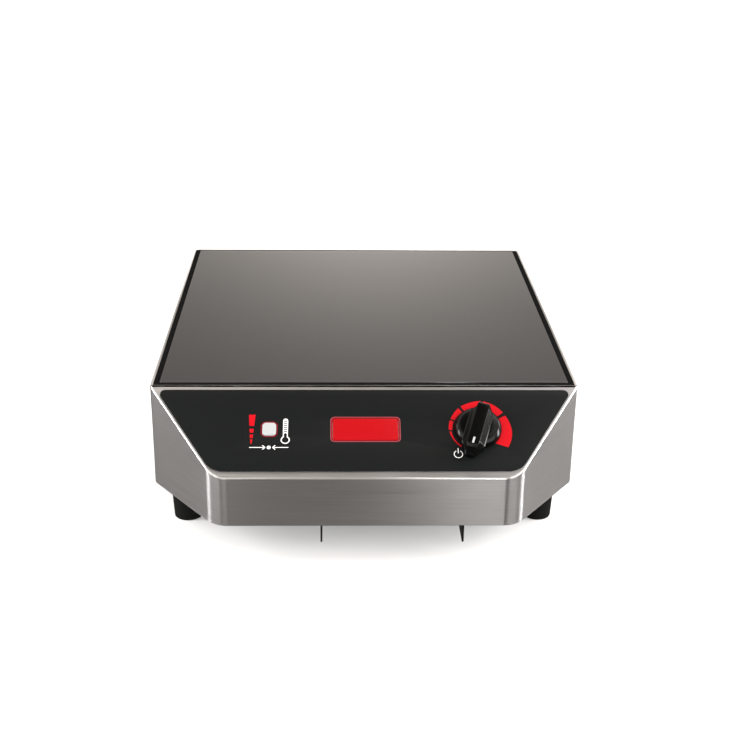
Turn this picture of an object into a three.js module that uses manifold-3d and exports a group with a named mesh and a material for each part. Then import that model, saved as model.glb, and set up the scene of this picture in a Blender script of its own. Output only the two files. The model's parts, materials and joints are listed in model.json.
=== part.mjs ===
// A single-zone countertop induction hob with a sloped control fascia.
// Millimetres: X to the right, Y to the back, Z up. The feet stand on z = 0, and the origin is
// under the middle of the object.
import * as THREE from "three";
import { mergeVertices } from "three/addons/utils/BufferGeometryUtils.js";
import Module from "manifold-3d";

const wasm = await Module();
wasm.setup();

// ---- Driving dimensions ----
const width = 358; // over the side walls
const topDepth = 385; // flat top, from its front edge to the rear wall
const fasciaDepth = 77; // how far the sloped fascia runs forward of the flat top
const bodyHeight = 90; // housing, from its lower edge to the rim
const skirtHeight = 43; // upright front wall below the fascia
const cornerCut = 57; // how far each front corner is cut in, along X
const footHeight = 35; // clear height under the housing
const sheet = 1.2; // steel sheet
const gap = 0.3; // clearance between neighbouring pieces
const glandReach = 14; // how far the cable gland stands out behind the rear panel

const bend = { front: 22, side: 10, rear: 4 }; // outer radii of the upright bends
const rimWidth = 2; // steel rim round the glass recess
const ledgeWidth = 14; // ledge that carries the glass
const glassThickness = 4;
const glassProud = 0.5; // glass above the rim
const gasketThickness = 1;
const gasketEdge = 4.3; // bead between the glass edge and the rim
const hemWidth = 8; // inward flange round the housing's lower edge

const overlay = { top: 4.5, bottom: 84, halfTop: 173.6, halfBottom: 124, thickness: 0.5 };
const display = { x: 0, down: 44, width: 53.2, height: 20.9, thickness: 0.7 };
const button = { x: -78.4, down: 44, width: 11.2, height: 12.2, proud: 2 };
const knob = { x: 92, down: 43.8, radius: 20.5, height: 15, nose: 29, restAngle: -17 };
const boardDepth = 12.5; // from the fascia's face down to the control board

const rail = { left: -36, right: 81, sheet: 1.5, height: 25.7, lip: 6, flange: 10 };
const railRun = { front: -60, lip: -28, back: 115 }; // measured from the flat top's front edge
const filter = { front: -15, length: 125, height: 14, border: 8, mesh: 2 };
const foot = { x: 152, front: 7.5, rear: 32, top: 15, bottom: 12.4 };
const fan = { y: 45, size: 92, height: 25, bore: 44, blade: 42, hub: 17, blades: 7 };
const coil = { y: 192, outer: 100, inner: 26, thickness: 4 };
const rearPlate = { margin: 5, low: 5, high: 9, flange: 20 };
const gland = { x: -110, up: 28, thread: 8, flats: 22, bore: 4.5 };

// ---- Places worked out from them ----
const totalDepth = fasciaDepth + topDepth + gap + sheet + glandReach;
const frontY = -totalDepth / 2;
const edgeY = frontY + fasciaDepth; // front edge of the flat top
const backY = edgeY + topDepth;
const recessFront = edgeY + rimWidth;
const recessBack = backY - rimWidth;
const rimZ = footHeight + bodyHeight;
const glassTopZ = rimZ + glassProud;
const glassBottomZ = glassTopZ - glassThickness;
const recessZ = glassBottomZ - gasketThickness - 2 * gap;
const ledgeZ = recessZ - sheet;
const panZ = footHeight + sheet + gap; // underside of the base pan
const floorZ = panZ + sheet + gap; // where pieces stand on the pan
const slope = Math.atan2(bodyHeight - skirtHeight, fasciaDepth);
const slopeLength = Math.hypot(bodyHeight - skirtHeight, fasciaDepth);
const coilY = edgeY + coil.y;
const boardZ = floorZ + 6; // underside of the power board, on the pan's bosses
const boardTop = boardZ + 1.6 + gap;
const trayZ = 93; // underside of the tray below the coil
const carrierZ = 110.6;
const boardArea = { left: -130, right: 125, front: edgeY + 100, back: edgeY + 310 };

// ---- Materials: colour, roughness, metalness ----
const finish = {
  steel: [0x9c9691, 0.34, 0.95],
  zinc: [0xb4b4b0, 0.45, 0.9],
  glass: [0x2b2a2a, 0.08, 0],
  blackRubber: [0x151515, 0.8, 0],
  overlay: [0x242525, 0.5, 0],
  redLens: [0xd8202a, 0.25, 0],
  whitePlastic: [0xf0eeee, 0.4, 0],
  blackPlastic: [0x0b0b0c, 0.22, 0],
  greyPlastic: [0x3a3c3f, 0.6, 0],
  board: [0x1f5a36, 0.55, 0],
  copper: [0xb0683a, 0.4, 0.85],
  ferrite: [0x35322f, 0.7, 0.1],
  mica: [0xc9b48a, 0.7, 0],
  aluminium: [0xb9bcbf, 0.4, 0.9],
  film: [0x2d4f7c, 0.45, 0],
};

const hob = new THREE.Group();
const fascia = new THREE.Group(); // local X right, Y up the slope, Z out of the fascia
fascia.position.set(0, edgeY, rimZ);
fascia.rotation.x = slope;
fascia.updateMatrix();
hob.add(fascia);

function piece(group, name, geometry, finishName, x = 0, y = 0, z = 0) {
  const [color, roughness, metalness] = finish[finishName];
  const material = new THREE.MeshStandardMaterial({ color, roughness, metalness });
  const mesh = new THREE.Mesh(geometry, material);
  mesh.name = name;
  mesh.position.set(x, y, z);
  group.add(mesh);
  return mesh;
}

// ---- Shapes ----

// A box standing on z = 0, centred in X and Y.
function box(w, d, h) {
  return new THREE.BoxGeometry(w, d, h).translate(0, 0, h / 2);
}

// A box between two corners.
function span(low, high) {
  const size = high.map((value, i) => value - low[i]);
  return box(...size).translate((low[0] + high[0]) / 2, (low[1] + high[1]) / 2, low[2]);
}

function slab(shape, height, curveSegments = 5) {
  return new THREE.ExtrudeGeometry(shape, { depth: height, bevelEnabled: false, curveSegments });
}

// A solid of revolution about Z; the profile runs upwards, as [radius, height] pairs.
function turned(profile, segments = 24) {
  const points = profile.map(([r, z]) => new THREE.Vector2(r, z));
  return new THREE.LatheGeometry(points, segments).rotateX(Math.PI / 2);
}

function rod(radius, height, segments = 20) {
  return turned([[0, 0], [radius, 0], [radius, height], [0, height]], segments);
}

function tube(outer, inner, height, segments = 24) {
  return turned([[inner, 0], [outer, 0], [outer, height], [inner, height], [inner, 0]], segments);
}

// A hexagonal prism standing on z = 0, with a given width across its flats.
function hexagon(acrossFlats, height) {
  return rod(acrossFlats / Math.sqrt(3), height, 6);
}

// A closed outline through the points, with each corner rounded by its radius.
function rounded(points, radii) {
  const shape = new THREE.Shape();
  points.forEach((point, i) => {
    const corner = new THREE.Vector2(...point);
    const before = new THREE.Vector2(...points.at(i - 1)).sub(corner).normalize();
    const after = new THREE.Vector2(...points[(i + 1) % points.length]).sub(corner).normalize();
    const half = Math.acos(before.dot(after)) / 2;
    const reach = radii[i] / Math.tan(half);
    const start = corner.clone().addScaledVector(before, reach);
    const end = corner.clone().addScaledVector(after, reach);
    if (i === 0) shape.moveTo(start.x, start.y);
    else shape.lineTo(start.x, start.y);
    shape.quadraticCurveTo(corner.x, corner.y, end.x, end.y);
  });
  shape.closePath();
  return shape;
}

function roundedRectangle(w, h, radius) {
  const corners = [[w / 2, h / 2], [-w / 2, h / 2], [-w / 2, -h / 2], [w / 2, -h / 2]];
  return rounded(corners, corners.map(() => radius));
}

// The housing's outline seen from above, moved inwards by a distance.
function plan(inset) {
  const half = width / 2;
  const corners = [
    [half, backY],
    [-half, backY],
    [-half, edgeY],
    [-half + cornerCut, frontY],
    [half - cornerCut, frontY],
    [half, edgeY],
  ];
  const bends = [bend.rear, bend.rear, bend.side, bend.front, bend.front, bend.side];
  const moved = corners.map((corner, i) => {
    const [x, y] = corner;
    const [px, py] = corners.at(i - 1);
    const [nx, ny] = corners[(i + 1) % corners.length];
    const n1 = new THREE.Vector2(py - y, x - px).normalize();
    const n2 = new THREE.Vector2(y - ny, nx - x).normalize();
    const step = n1.clone().add(n2).multiplyScalar(inset / (1 + n1.dot(n2)));
    return [x + step.x, y + step.y];
  });
  return rounded(moved, bends.map((radius) => Math.max(radius - inset, 0.8)));
}

// ---- Cutting and joining ----

function solid(geometry) {
  const bare = geometry.clone();
  bare.deleteAttribute("normal");
  bare.deleteAttribute("uv");
  const merged = mergeVertices(bare, 1e-4);
  return new wasm.Manifold(
    new wasm.Mesh({
      numProp: 3,
      vertProperties: new Float32Array(merged.attributes.position.array),
      triVerts: new Uint32Array(merged.index.array),
    }),
  );
}

function geometryOf(manifold) {
  const { vertProperties, triVerts } = manifold.getMesh();
  const geometry = new THREE.BufferGeometry();
  geometry.setAttribute("position", new THREE.BufferAttribute(vertProperties, 3));
  geometry.setIndex(new THREE.BufferAttribute(triVerts, 1));
  geometry.computeVertexNormals();
  return geometry;
}

function join(...geometries) {
  const [first, ...others] = geometries.map(solid);
  return geometryOf(others.reduce((sum, other) => sum.add(other), first));
}

function cut(geometry, ...cutters) {
  const whole = solid(geometry);
  return geometryOf(cutters.map(solid).reduce((rest, cutter) => rest.subtract(cutter), whole));
}

// Moves a shape from the fascia's frame to the object's.
function onFascia(geometry, x, down, out) {
  return geometry.translate(x, -down, out).applyMatrix4(fascia.matrix);
}

// ---- Housing, glass and base ----

// The wedge of space in front of the fascia, for a face set back by a distance.
function aboveFascia(inset) {
  return onFascia(box(width + 20, 3 * slopeLength, bodyHeight), 0, slopeLength / 2, -inset);
}

function housing() {
  const outer = cut(slab(plan(0), bodyHeight).translate(0, 0, footHeight), aboveFascia(0));
  const hollow = slab(plan(sheet), ledgeZ - footHeight - sheet).translate(0, 0, footHeight + sheet);
  const recess = span(
    [-width / 2 + rimWidth, recessFront, recessZ],
    [width / 2 - rimWidth, recessBack, rimZ + 5],
  );
  const ledgeWindow = span(
    [-width / 2 + ledgeWidth, edgeY + ledgeWidth, ledgeZ - 1],
    [width / 2 - ledgeWidth, backY - ledgeWidth, rimZ],
  );
  const bottomOpening = slab(plan(sheet + hemWidth), 2 * sheet).translate(0, 0, footHeight - sheet / 2);
  const rearWindow = span(
    [-width / 2 + rearPlate.flange, backY - 3, panZ + 11],
    [width / 2 - rearPlate.flange, backY + 1, ledgeZ - 10],
  );
  const displayHole = slab(roundedRectangle(display.width - 5, display.height - 5, 2), 6);
  const buttonHole = slab(roundedRectangle(button.width + 0.8, button.height + 0.8, 3.4), 6);
  const shaftHole = rod(4.9, 6);
  return cut(
    outer,
    cut(hollow, aboveFascia(sheet)),
    recess,
    ledgeWindow,
    bottomOpening,
    rearWindow,
    onFascia(displayHole, display.x, display.down, -3),
    onFascia(buttonHole, button.x, button.down, -3),
    onFascia(shaftHole, knob.x, knob.down, -3),
    ...rearScrewPlaces.map(([x, z]) => rearHole(x, z, backY - 3)),
  );
}

const rearScrewPlaces = [-1, 1].map((side) => [side * (width / 2 - 12.5), footHeight + 45]);

function rearHole(x, z, y) {
  return rod(1.8, 6, 12).rotateX(-Math.PI / 2).translate(x, y, z);
}

function rearPanel() {
  const y = backY + gap;
  const plate = span(
    [-width / 2 + rearPlate.margin, y, panZ + rearPlate.low],
    [width / 2 - rearPlate.margin, y + sheet, rimZ - rearPlate.high],
  );
  const slots = [];
  for (let i = 0; i < 22; i += 1) {
    const x = -62 + i * 9;
    slots.push(span([x - 2, y - 1, footHeight + 28], [x + 2, y + 3, footHeight + 64]));
  }
  const entry = rod(gland.thread + gap, 6).rotateX(-Math.PI / 2);
  return cut(
    plate,
    ...slots,
    entry.translate(gland.x, y - 2, footHeight + gland.up),
    ...rearScrewPlaces.map(([x, z]) => rearHole(x, z, y - 2)),
  );
}

function footPlaces() {
  const rows = [edgeY + foot.front, backY - foot.rear];
  return rows.flatMap((y) => [-foot.x, foot.x].map((x) => [x, y]));
}

function fanX() {
  return (rail.left + rail.right) / 2;
}

function basePan() {
  const inset = sheet + 2 * gap;
  const shell = cut(slab(plan(inset), 10), slab(plan(inset + sheet), 10).translate(0, 0, sheet));
  const inside = 12; // from the board's edges to its bosses
  const bossColumns = [boardArea.left + inside, boardArea.right - inside];
  const bossRows = [boardArea.front + inside, boardArea.back - inside];
  const boss = rod(4, boardZ - panZ - gap, 12);
  const bosses = bossColumns.flatMap((x) => bossRows.map((y) => boss.clone().translate(x, y, 0)));
  const slots = [];
  for (let column = 0; column < 9; column += 1) {
    for (const row of [-1, 1]) {
      slots.push(box(4, 36, 4).translate(fanX() + (column - 4) * 9, edgeY + fan.y + row * 21, -1));
    }
  }
  const screwHoles = footPlaces().map(([x, y]) => rod(2.4, 4, 12).translate(x, y, -1));
  return cut(join(shell, ...bosses), ...slots, ...screwHoles);
}

// The bead round the glass: a flat ring below it and an upstand round its edge.
function glassGasket() {
  const outer = recessSize(gap);
  const beside = recessSize(gap + gasketEdge);
  const inside = recessSize(ledgeWidth - rimWidth);
  const height = rimZ - recessZ - gap;
  const ring = slab(roundedRectangle(...outer, 1.5), height - gap);
  const glassSeat = slab(roundedRectangle(...beside, 1.5), height).translate(0, 0, gasketThickness);
  const opening = slab(roundedRectangle(...inside, 4), 3 * height).translate(0, 0, -height);
  return cut(ring, glassSeat, opening);
}

// Width and depth of the glass recess, less a margin on every side.
function recessSize(margin) {
  return [width - 2 * (rimWidth + margin), recessBack - recessFront - 2 * margin];
}

function addShell() {
  const recessY = (recessFront + recessBack) / 2;
  const glass = slab(roundedRectangle(...recessSize(2 * gap + gasketEdge), 2), glassThickness);
  piece(hob, "housing", housing(), "steel");
  piece(hob, "rear_panel", rearPanel(), "steel");
  piece(hob, "base_pan", basePan(), "zinc", 0, 0, panZ);
  piece(hob, "glass_gasket", glassGasket(), "blackRubber", 0, recessY, recessZ + gap);
  piece(hob, "glass_top", glass, "glass", 0, recessY, glassBottomZ);
  const seatY = backY + sheet + 2 * gap;
  for (const [i, name] of ["rear_screw_left", "rear_screw_right"].entries()) {
    const [x, z] = rearScrewPlaces[i];
    const head = turned([[0, 0], [3.2, 0], [2.6, 1.8], [0, 2.2]], 12);
    const screw = join(head, rod(1.4, 9, 12).translate(0, 0, -8)).rotateX(-Math.PI / 2);
    piece(hob, name, screw, "zinc", x, seatY, z);
  }
}

// ---- Feet ----

function addFeet() {
  const top = panZ - gap;
  const counterbore = 7;
  const shank = 35;
  footPlaces().forEach(([x, y], i) => {
    const rubber = turned(
      [
        [6.5, 0],
        [foot.bottom, 0],
        [foot.top, top],
        [2.4, top],
        [2.4, counterbore],
        [6.5, counterbore],
        [6.5, 0],
      ],
      20,
    );
    const screw = turned([[0, -4], [5, -4], [5, 0], [2, 0], [2, shank], [0, shank]], 12);
    piece(hob, `foot_${i + 1}`, rubber, "blackRubber", x, y, 0);
    piece(hob, `foot_screw_${i + 1}`, screw, "zinc", x, y, counterbore - gap);
  });
}

// ---- Air filter under the base pan ----

// A rail's section: an upright web, a lip that carries the filter and a flange under the pan.
function railSection(side) {
  const t = rail.sheet / 2;
  const points = [
    [t, 0],
    [t, rail.height - rail.sheet],
    [rail.flange, rail.height - rail.sheet],
    [rail.flange, rail.height],
    [-t, rail.height],
    [-t, rail.sheet],
    [-rail.lip, rail.sheet],
    [-rail.lip, 0],
  ];
  const path = side > 0 ? points : points.map(([x, z]) => [-x, z]).reverse();
  return new THREE.Shape(path.map(([x, z]) => new THREE.Vector2(x, z)));
}

function addFilter() {
  const railBottom = panZ - gap - rail.height;
  const run = railRun.back - railRun.front;
  const rails = [
    ["filter_rail_left", rail.left, -1],
    ["filter_rail_right", rail.right, 1],
  ];
  for (const [name, x, side] of rails) {
    const folded = slab(railSection(side), run).rotateX(Math.PI / 2);
    const noLip = box(rail.lip + 1, railRun.lip - railRun.front + 1, 2 * rail.sheet).translate(
      (-side * (rail.lip + 1 + rail.sheet)) / 2,
      (railRun.front + railRun.lip - 1) / 2 - railRun.back,
      -rail.sheet / 2,
    );
    piece(hob, name, cut(folded, noLip), "zinc", x, edgeY + railRun.back, railBottom);
  }
  const wide = rail.right - rail.left - rail.sheet - 4 * gap;
  const y = edgeY + filter.front + filter.length / 2;
  const z = railBottom + rail.sheet + gap;
  const innerWide = wide - 2 * filter.border;
  const innerLong = filter.length - 2 * filter.border;
  const pull = box(30, 3, 6).translate(0, -filter.length / 2 - 1.4, 2);
  const frame = cut(
    join(box(wide, filter.length, filter.height), pull),
    box(innerWide, innerLong, 3 * filter.height).translate(0, 0, -filter.height),
  );
  piece(hob, "filter_frame", frame, "greyPlastic", fanX(), y, z);
  const slots = [];
  const columns = 11;
  const pitch = (innerWide - 4) / columns;
  for (let column = 0; column < columns; column += 1) {
    for (const row of [-1, 1]) {
      const x = (column - (columns - 1) / 2) * pitch;
      slots.push(box(3.6, innerLong / 2 - 6, 6).translate(x, (row * innerLong) / 4, -1));
    }
  }
  const mesh = cut(box(innerWide - 2 * gap, innerLong - 2 * gap, filter.mesh), ...slots);
  piece(hob, "filter_mesh", mesh, "aluminium", fanX(), y, z + filter.height / 2);
}

// ---- Controls on the fascia ----

function controlOverlay() {
  const { top, bottom, halfTop, halfBottom, thickness } = overlay;
  const corners = [[halfTop, -top], [-halfTop, -top], [-halfBottom, -bottom], [halfBottom, -bottom]];
  const shape = rounded(corners, [4, 4, 20, 20]);
  const lens = slab(roundedRectangle(display.width + 2 * gap, display.height + 2 * gap, 2.6), 2);
  const cap = slab(roundedRectangle(button.width + 0.9, button.height + 0.9, 3.4), 2);
  return cut(
    slab(shape, thickness, 8),
    lens.translate(display.x, -display.down, -1),
    cap.translate(button.x, -button.down, -1),
    rod(8.5, 2).translate(knob.x, -knob.down, -1),
  );
}

const pointerY = -20.4; // middle of the knob's white mark, along its bar

// The knob about its own axis: a round skirt and a tapering grip bar whose nose is the pointer.
function controlKnob() {
  const { radius, height, nose } = knob;
  const skirt = turned([[0, 0], [radius, 0], [20, 1.4], [18.2, 5.4], [16.4, 6.6], [0, 7.4]], 40);
  const sideView = [
    [-nose, 0],
    [19, 0],
    [17.6, height - 2.5],
    [15.5, height],
    [-22.4, height],
    [-25, height - 1.6],
    [-nose, 4],
  ];
  const barSide = new THREE.Shape(sideView.map(([y, z]) => new THREE.Vector2(y, z)));
  const bar = slab(barSide, 18).translate(0, 0, -9).rotateX(Math.PI / 2).rotateZ(Math.PI / 2);
  const halfTop = 4.8; // of the bar's flat top
  const halfNose = 4;
  const lean = 0.26; // of the bar's flanks from upright, in radians
  const taper = 0.2; // of its cheeks towards the nose
  const trims = [-1, 1].flatMap((side) => {
    const flank = box(20, 120, 60).translate(side * 10, 0, -30).rotateY(-side * lean);
    flank.translate(side * (halfTop + height * Math.tan(lean)), 0, 0);
    const cheek = box(20, 60, 60).translate(side * 10, 30, -30).rotateZ(-side * taper);
    return [flank, cheek.translate(side * halfNose, -nose, 0)];
  });
  const well = rod(10.5, 4.5, 24).translate(0, 0, -0.1);
  const bore = rod(3.1, 12, 16).translate(0, 0, -0.1);
  const pocket = box(2.2, 6.4, 2).translate(0, pointerY, height - 0.8);
  return cut(join(skirt, cut(bar, ...trims)), well, bore, pocket);
}

function addControls() {
  const onBoard = -boardDepth + gap; // foot of the pieces on the control board
  piece(fascia, "control_overlay", controlOverlay(), "overlay", 0, 0, gap);
  const lens = slab(roundedRectangle(display.width, display.height, 2.4), display.thickness);
  piece(fascia, "display_window", lens, "redLens", display.x, -display.down, gap);
  const digits = box(50, 19, 9);
  piece(fascia, "display_module", digits, "greyPlastic", display.x, -display.down, onBoard);

  const cap = join(
    slab(roundedRectangle(button.width, button.height, 3), button.proud + 5),
    slab(roundedRectangle(button.width + 4, button.height + 4, 4), 3.5),
  );
  piece(fascia, "mode_button", cap, "whitePlastic", button.x, -button.down, -5);
  const plunger = box(5, 5, 4);
  piece(fascia, "switch_plunger", plunger, "blackPlastic", button.x, -button.down, -5 - gap - 4);
  const switchBody = cut(box(12, 12, 4), box(5.8, 5.8, 4).translate(0, 0, 1.6));
  piece(fascia, "mode_switch", switchBody, "blackPlastic", button.x, -button.down, onBoard);

  const potBody = join(rod(12, boardDepth - sheet - 2 * gap), rod(4.5, 17, 24));
  const bearing = rod(3.15, 20, 24).translate(0, 0, 2);
  piece(fascia, "potentiometer", cut(potBody, bearing), "zinc", knob.x, -knob.down, onBoard);
  piece(fascia, "potentiometer_shaft", rod(3, 20, 24), "zinc", knob.x, -knob.down, -8.5);
  const nut = cut(hexagon(13, 2.5), rod(4.8, 6, 24).translate(0, 0, -1));
  piece(fascia, "potentiometer_nut", nut, "zinc", knob.x, -knob.down, gap);

  const turning = new THREE.Group();
  turning.position.set(knob.x, -knob.down, gap + overlay.thickness + 0.5);
  turning.rotation.z = THREE.MathUtils.degToRad(knob.restAngle);
  fascia.add(turning);
  piece(turning, "control_knob", controlKnob(), "blackPlastic");
  piece(turning, "knob_pointer", box(1.6, 5.8, 0.7), "whitePlastic", 0, pointerY, knob.height - 0.5);

  const boardThickness = 1.6;
  const boardX = 8; // the board and its bracket stand a little right of the middle
  const boardBase = -boardDepth - boardThickness;
  const board = box(222, 44, boardThickness);
  piece(fascia, "control_board", board, "board", boardX, -46, boardBase);
  const bracketWide = 236;
  const bracketBase = boardBase - gap - sheet;
  const bracket = cut(
    box(bracketWide, 38, -bracketBase - sheet - gap),
    box(bracketWide - 2 * sheet, 60, 30).translate(0, 0, sheet),
  );
  piece(fascia, "control_bracket", bracket, "zinc", boardX, -46, bracketBase);
}

// ---- Coil under the glass ----

function helix(radius, turns, height, wire) {
  class Helix extends THREE.Curve {
    getPoint(t, target = new THREE.Vector3()) {
      const angle = 2 * Math.PI * turns * t;
      return target.set(radius * Math.cos(angle), radius * Math.sin(angle), wire + t * (height - 2 * wire));
    }
  }
  const section = new THREE.Shape().absarc(0, 0, wire, 0, 2 * Math.PI);
  return new THREE.ExtrudeGeometry(section, {
    extrudePath: new Helix(),
    steps: Math.round(9 * turns),
    curveSegments: 3,
    bevelEnabled: false,
  });
}

function addCoil() {
  const trayWide = width - 2 * sheet - 4 * gap;
  const traySection = cut(
    box(trayWide, 230, 14),
    box(trayWide - 2 * sheet, 240, 20).translate(0, 0, sheet),
    rod(7, 6, 16).translate(118, 0, -1),
  );
  piece(hob, "coil_tray", traySection, "aluminium", 0, coilY, trayZ);

  const arms = [0, 1, 2].map((i) => box(22, 30, 4).translate(0, 110, 0).rotateZ((i * 2 * Math.PI) / 3));
  const carrier = join(tube(coil.outer + 4, coil.inner - 6, 5, 36), ...arms);
  piece(hob, "coil_carrier", carrier, "greyPlastic", 0, coilY, carrierZ);
  const groove = [[62, coil.thickness], [62, 1.2], [58, 1.2], [58, coil.thickness]];
  const winding = turned(
    [
      [coil.inner, 0],
      [coil.outer, 0],
      [coil.outer, coil.thickness],
      ...groove,
      [coil.inner, coil.thickness],
      [coil.inner, 0],
    ],
    36,
  );
  piece(hob, "coil_winding", winding, "copper", 0, coilY, carrierZ + 5 + gap);
  piece(hob, "mica_sheet", tube(120, 9, 1, 36), "mica", 0, coilY, glassBottomZ - gap - 1);

  for (let i = 0; i < 4; i += 1) {
    const bar = box(62, 14, 4).translate(60, 0, 0).rotateZ((i * Math.PI) / 2 + Math.PI / 12);
    piece(hob, `ferrite_bar_${i + 1}`, bar, "ferrite", 0, coilY, carrierZ - gap - 4);
  }
  const springZ = trayZ + sheet + gap;
  const springRing = 116; // how far the springs stand from the coil's middle
  for (let i = 0; i < 3; i += 1) {
    const spring = helix(5, 4, carrierZ - gap - springZ, 0.7);
    const angle = Math.PI / 2 + (i * 2 * Math.PI) / 3;
    const x = springRing * Math.cos(angle);
    const y = coilY + springRing * Math.sin(angle);
    piece(hob, `coil_spring_${i + 1}`, spring, "zinc", x, y, springZ);
  }
  const sensor = turned([[0, 0], [7, 0], [7, 4], [5, 4.6], [5, 7], [0, 7]], 20);
  const sensorZ = glassBottomZ - gap - 7;
  piece(hob, "temperature_sensor", sensor, "whitePlastic", 0, coilY, sensorZ);
  piece(hob, "sensor_spring", helix(4, 4, sensorZ - gap - springZ, 0.6), "zinc", 0, coilY, springZ);
  addLead();
}

// A smooth run of cable through a few points, with a given section.
function cable(points, section, steps) {
  const places = points.map((p) => new THREE.Vector3(...p));
  const extrudePath = new THREE.CatmullRomCurve3(places, false, "centripetal");
  return new THREE.ExtrudeGeometry(section, { extrudePath, steps, curveSegments: 4, bevelEnabled: false });
}

function addLead() {
  const out = coil.outer;
  const points = [
    [out + gap, coilY, 118],
    [out + 9, coilY, 117.6],
    [out + 16, coilY, 112],
    [out + 18, coilY, 100],
    [out + 17, coilY, 80],
    [out + 12, coilY, 62],
    [out + 10, coilY, boardTop],
  ];
  const round = new THREE.Shape().absarc(0, 0, 2, 0, 2 * Math.PI);
  piece(hob, "coil_lead", cable(points, round, 18), "copper");
}

// ---- Power electronics and cooling ----

function heatsinkShape(wide, high, base, fins) {
  const shape = new THREE.Shape();
  const pitch = wide / (fins - 0.5);
  shape.moveTo(-wide / 2, 0);
  shape.lineTo(wide / 2, 0);
  for (let i = 0; i < fins; i += 1) {
    const right = wide / 2 - i * pitch;
    shape.lineTo(right, high);
    shape.lineTo(right - pitch / 2, high);
    if (i < fins - 1) {
      shape.lineTo(right - pitch / 2, base);
      shape.lineTo(right - pitch, base);
    }
  }
  shape.closePath();
  return shape;
}

function addPower() {
  const boardWide = boardArea.right - boardArea.left;
  const boardLong = boardArea.back - boardArea.front;
  const boardX = (boardArea.left + boardArea.right) / 2;
  const boardY = (boardArea.front + boardArea.back) / 2;
  piece(hob, "power_board", box(boardWide, boardLong, 1.6), "board", boardX, boardY, boardZ);
  const sinkX = fanX() + 2;
  const sinkLong = 120;
  const sinkWide = 80;
  const fins = slab(heatsinkShape(sinkWide, 34, 5, 9), sinkLong).rotateX(Math.PI / 2);
  const sinkY = edgeY + 180;
  piece(hob, "heatsink", fins, "aluminium", sinkX, sinkY + sinkLong / 2, boardTop);
  const flank = sinkX - sinkWide / 2 - gap - 2.5; // the semiconductors stand against the heatsink
  piece(hob, "bridge_rectifier", box(5, 28, 22), "blackPlastic", flank, sinkY - 30, boardTop);
  piece(hob, "power_transistor", box(5, 16, 21), "blackPlastic", flank, sinkY + 20, boardTop);
  const filterX = -85; // the mains filter stands in one row beside the air duct
  piece(hob, "bus_capacitor", box(32, 50, 36), "film", filterX, edgeY + 150, boardTop);
  piece(hob, "filter_capacitor", box(18, 42, 28), "film", filterX, edgeY + 212, boardTop);
  piece(hob, "filter_choke", tube(20, 9, 16, 20), "copper", filterX, edgeY + 268, boardTop);
  const block = cut(
    box(54, 22, 18),
    ...[-1, 0, 1].map((i) => box(12, 14, 10).translate(i * 17, 0, 11)),
  );
  piece(hob, "terminal_block", block, "whitePlastic", gland.x, backY - 38, floorZ);

  const corners = [[0.6, 8], [0.6, -8], [-0.6, -8], [-0.6, 8]];
  const ribbon = new THREE.Shape(corners.map(([across, along]) => new THREE.Vector2(across, along)));
  const x = -70;
  const points = [
    [x, edgeY - 9, 92],
    [x, edgeY + 12, 88],
    [x, edgeY + 60, 80],
    [x, edgeY + 96, 68],
    [x, edgeY + 108, 58],
    [x, edgeY + 112, boardTop + 4],
    [x, edgeY + 112, boardTop],
  ];
  piece(hob, "ribbon_cable", cable(points, ribbon, 14), "greyPlastic");
}

function fanFrame() {
  const square = slab(roundedRectangle(fan.size, fan.size, 5), fan.height);
  const ring = cut(square, rod(fan.bore, fan.height + 2, 32).translate(0, 0, -1));
  const struts = [0, 1, 2].map((i) => {
    const strut = box(5, fan.bore, 3).translate(0, fan.bore / 2 + 1, 0);
    return strut.rotateZ((i * 2 * Math.PI) / 3);
  });
  return join(ring, rod(fan.hub, 4, 20), ...struts);
}

function fanImpeller() {
  const high = fan.height - 8;
  const blades = [];
  for (let i = 0; i < fan.blades; i += 1) {
    const reach = fan.blade - fan.hub + 3;
    const blade = box(reach, 1.8, 20).translate(0, 0, -10).rotateX(-0.85);
    blade.translate(fan.hub - 3 + reach / 2, 0, high / 2);
    blades.push(blade.rotateZ((i * 2 * Math.PI) / fan.blades));
  }
  return join(rod(fan.hub, high, 24), ...blades);
}

function addCooling() {
  piece(hob, "fan_frame", fanFrame(), "blackPlastic", fanX(), edgeY + fan.y, floorZ);
  piece(hob, "fan_impeller", fanImpeller(), "greyPlastic", fanX(), edgeY + fan.y, floorZ + 5);
  const roofZ = 86;
  const wall = 1.6;
  const outside = [fan.size + 14, backY - edgeY - 4];
  const duct = cut(
    box(outside[0], outside[1], roofZ - boardTop),
    box(outside[0] - 2 * wall, outside[1], roofZ - boardTop).translate(0, wall, -wall),
  );
  piece(hob, "air_duct", duct, "greyPlastic", fanX(), edgeY - 4 + outside[1] / 2, boardTop);
}

// ---- Mains inlet ----

function addInlet() {
  const body = join(
    hexagon(gland.flats, 5),
    turned([[0, 4], [9.6, 4], [9.6, 9], [7.5, glandReach], [0, glandReach]], 20),
    rod(gland.thread, 10, 20).translate(0, 0, -10 + gap),
  );
  const drilled = cut(body, rod(gland.bore, 60, 16).translate(0, 0, -30));
  drilled.rotateX(-Math.PI / 2);
  const z = footHeight + gland.up;
  piece(hob, "cable_gland", drilled, "blackPlastic", gland.x, backY + gap + sheet, z);
  const nut = cut(hexagon(gland.flats, 4), rod(gland.thread + gap, 10, 20).translate(0, 0, -2));
  nut.rotateX(-Math.PI / 2);
  piece(hob, "gland_nut", nut, "zinc", gland.x, backY - 5, z);
}

addShell();
addFeet();
addFilter();
addControls();
addCoil();
addPower();
addCooling();
addInlet();

export default hob;
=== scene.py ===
"""A countertop induction hob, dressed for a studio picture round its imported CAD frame. Metres, +Z up."""

import json
import math

import bmesh
import bpy
from mathutils import Matrix, Vector


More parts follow.
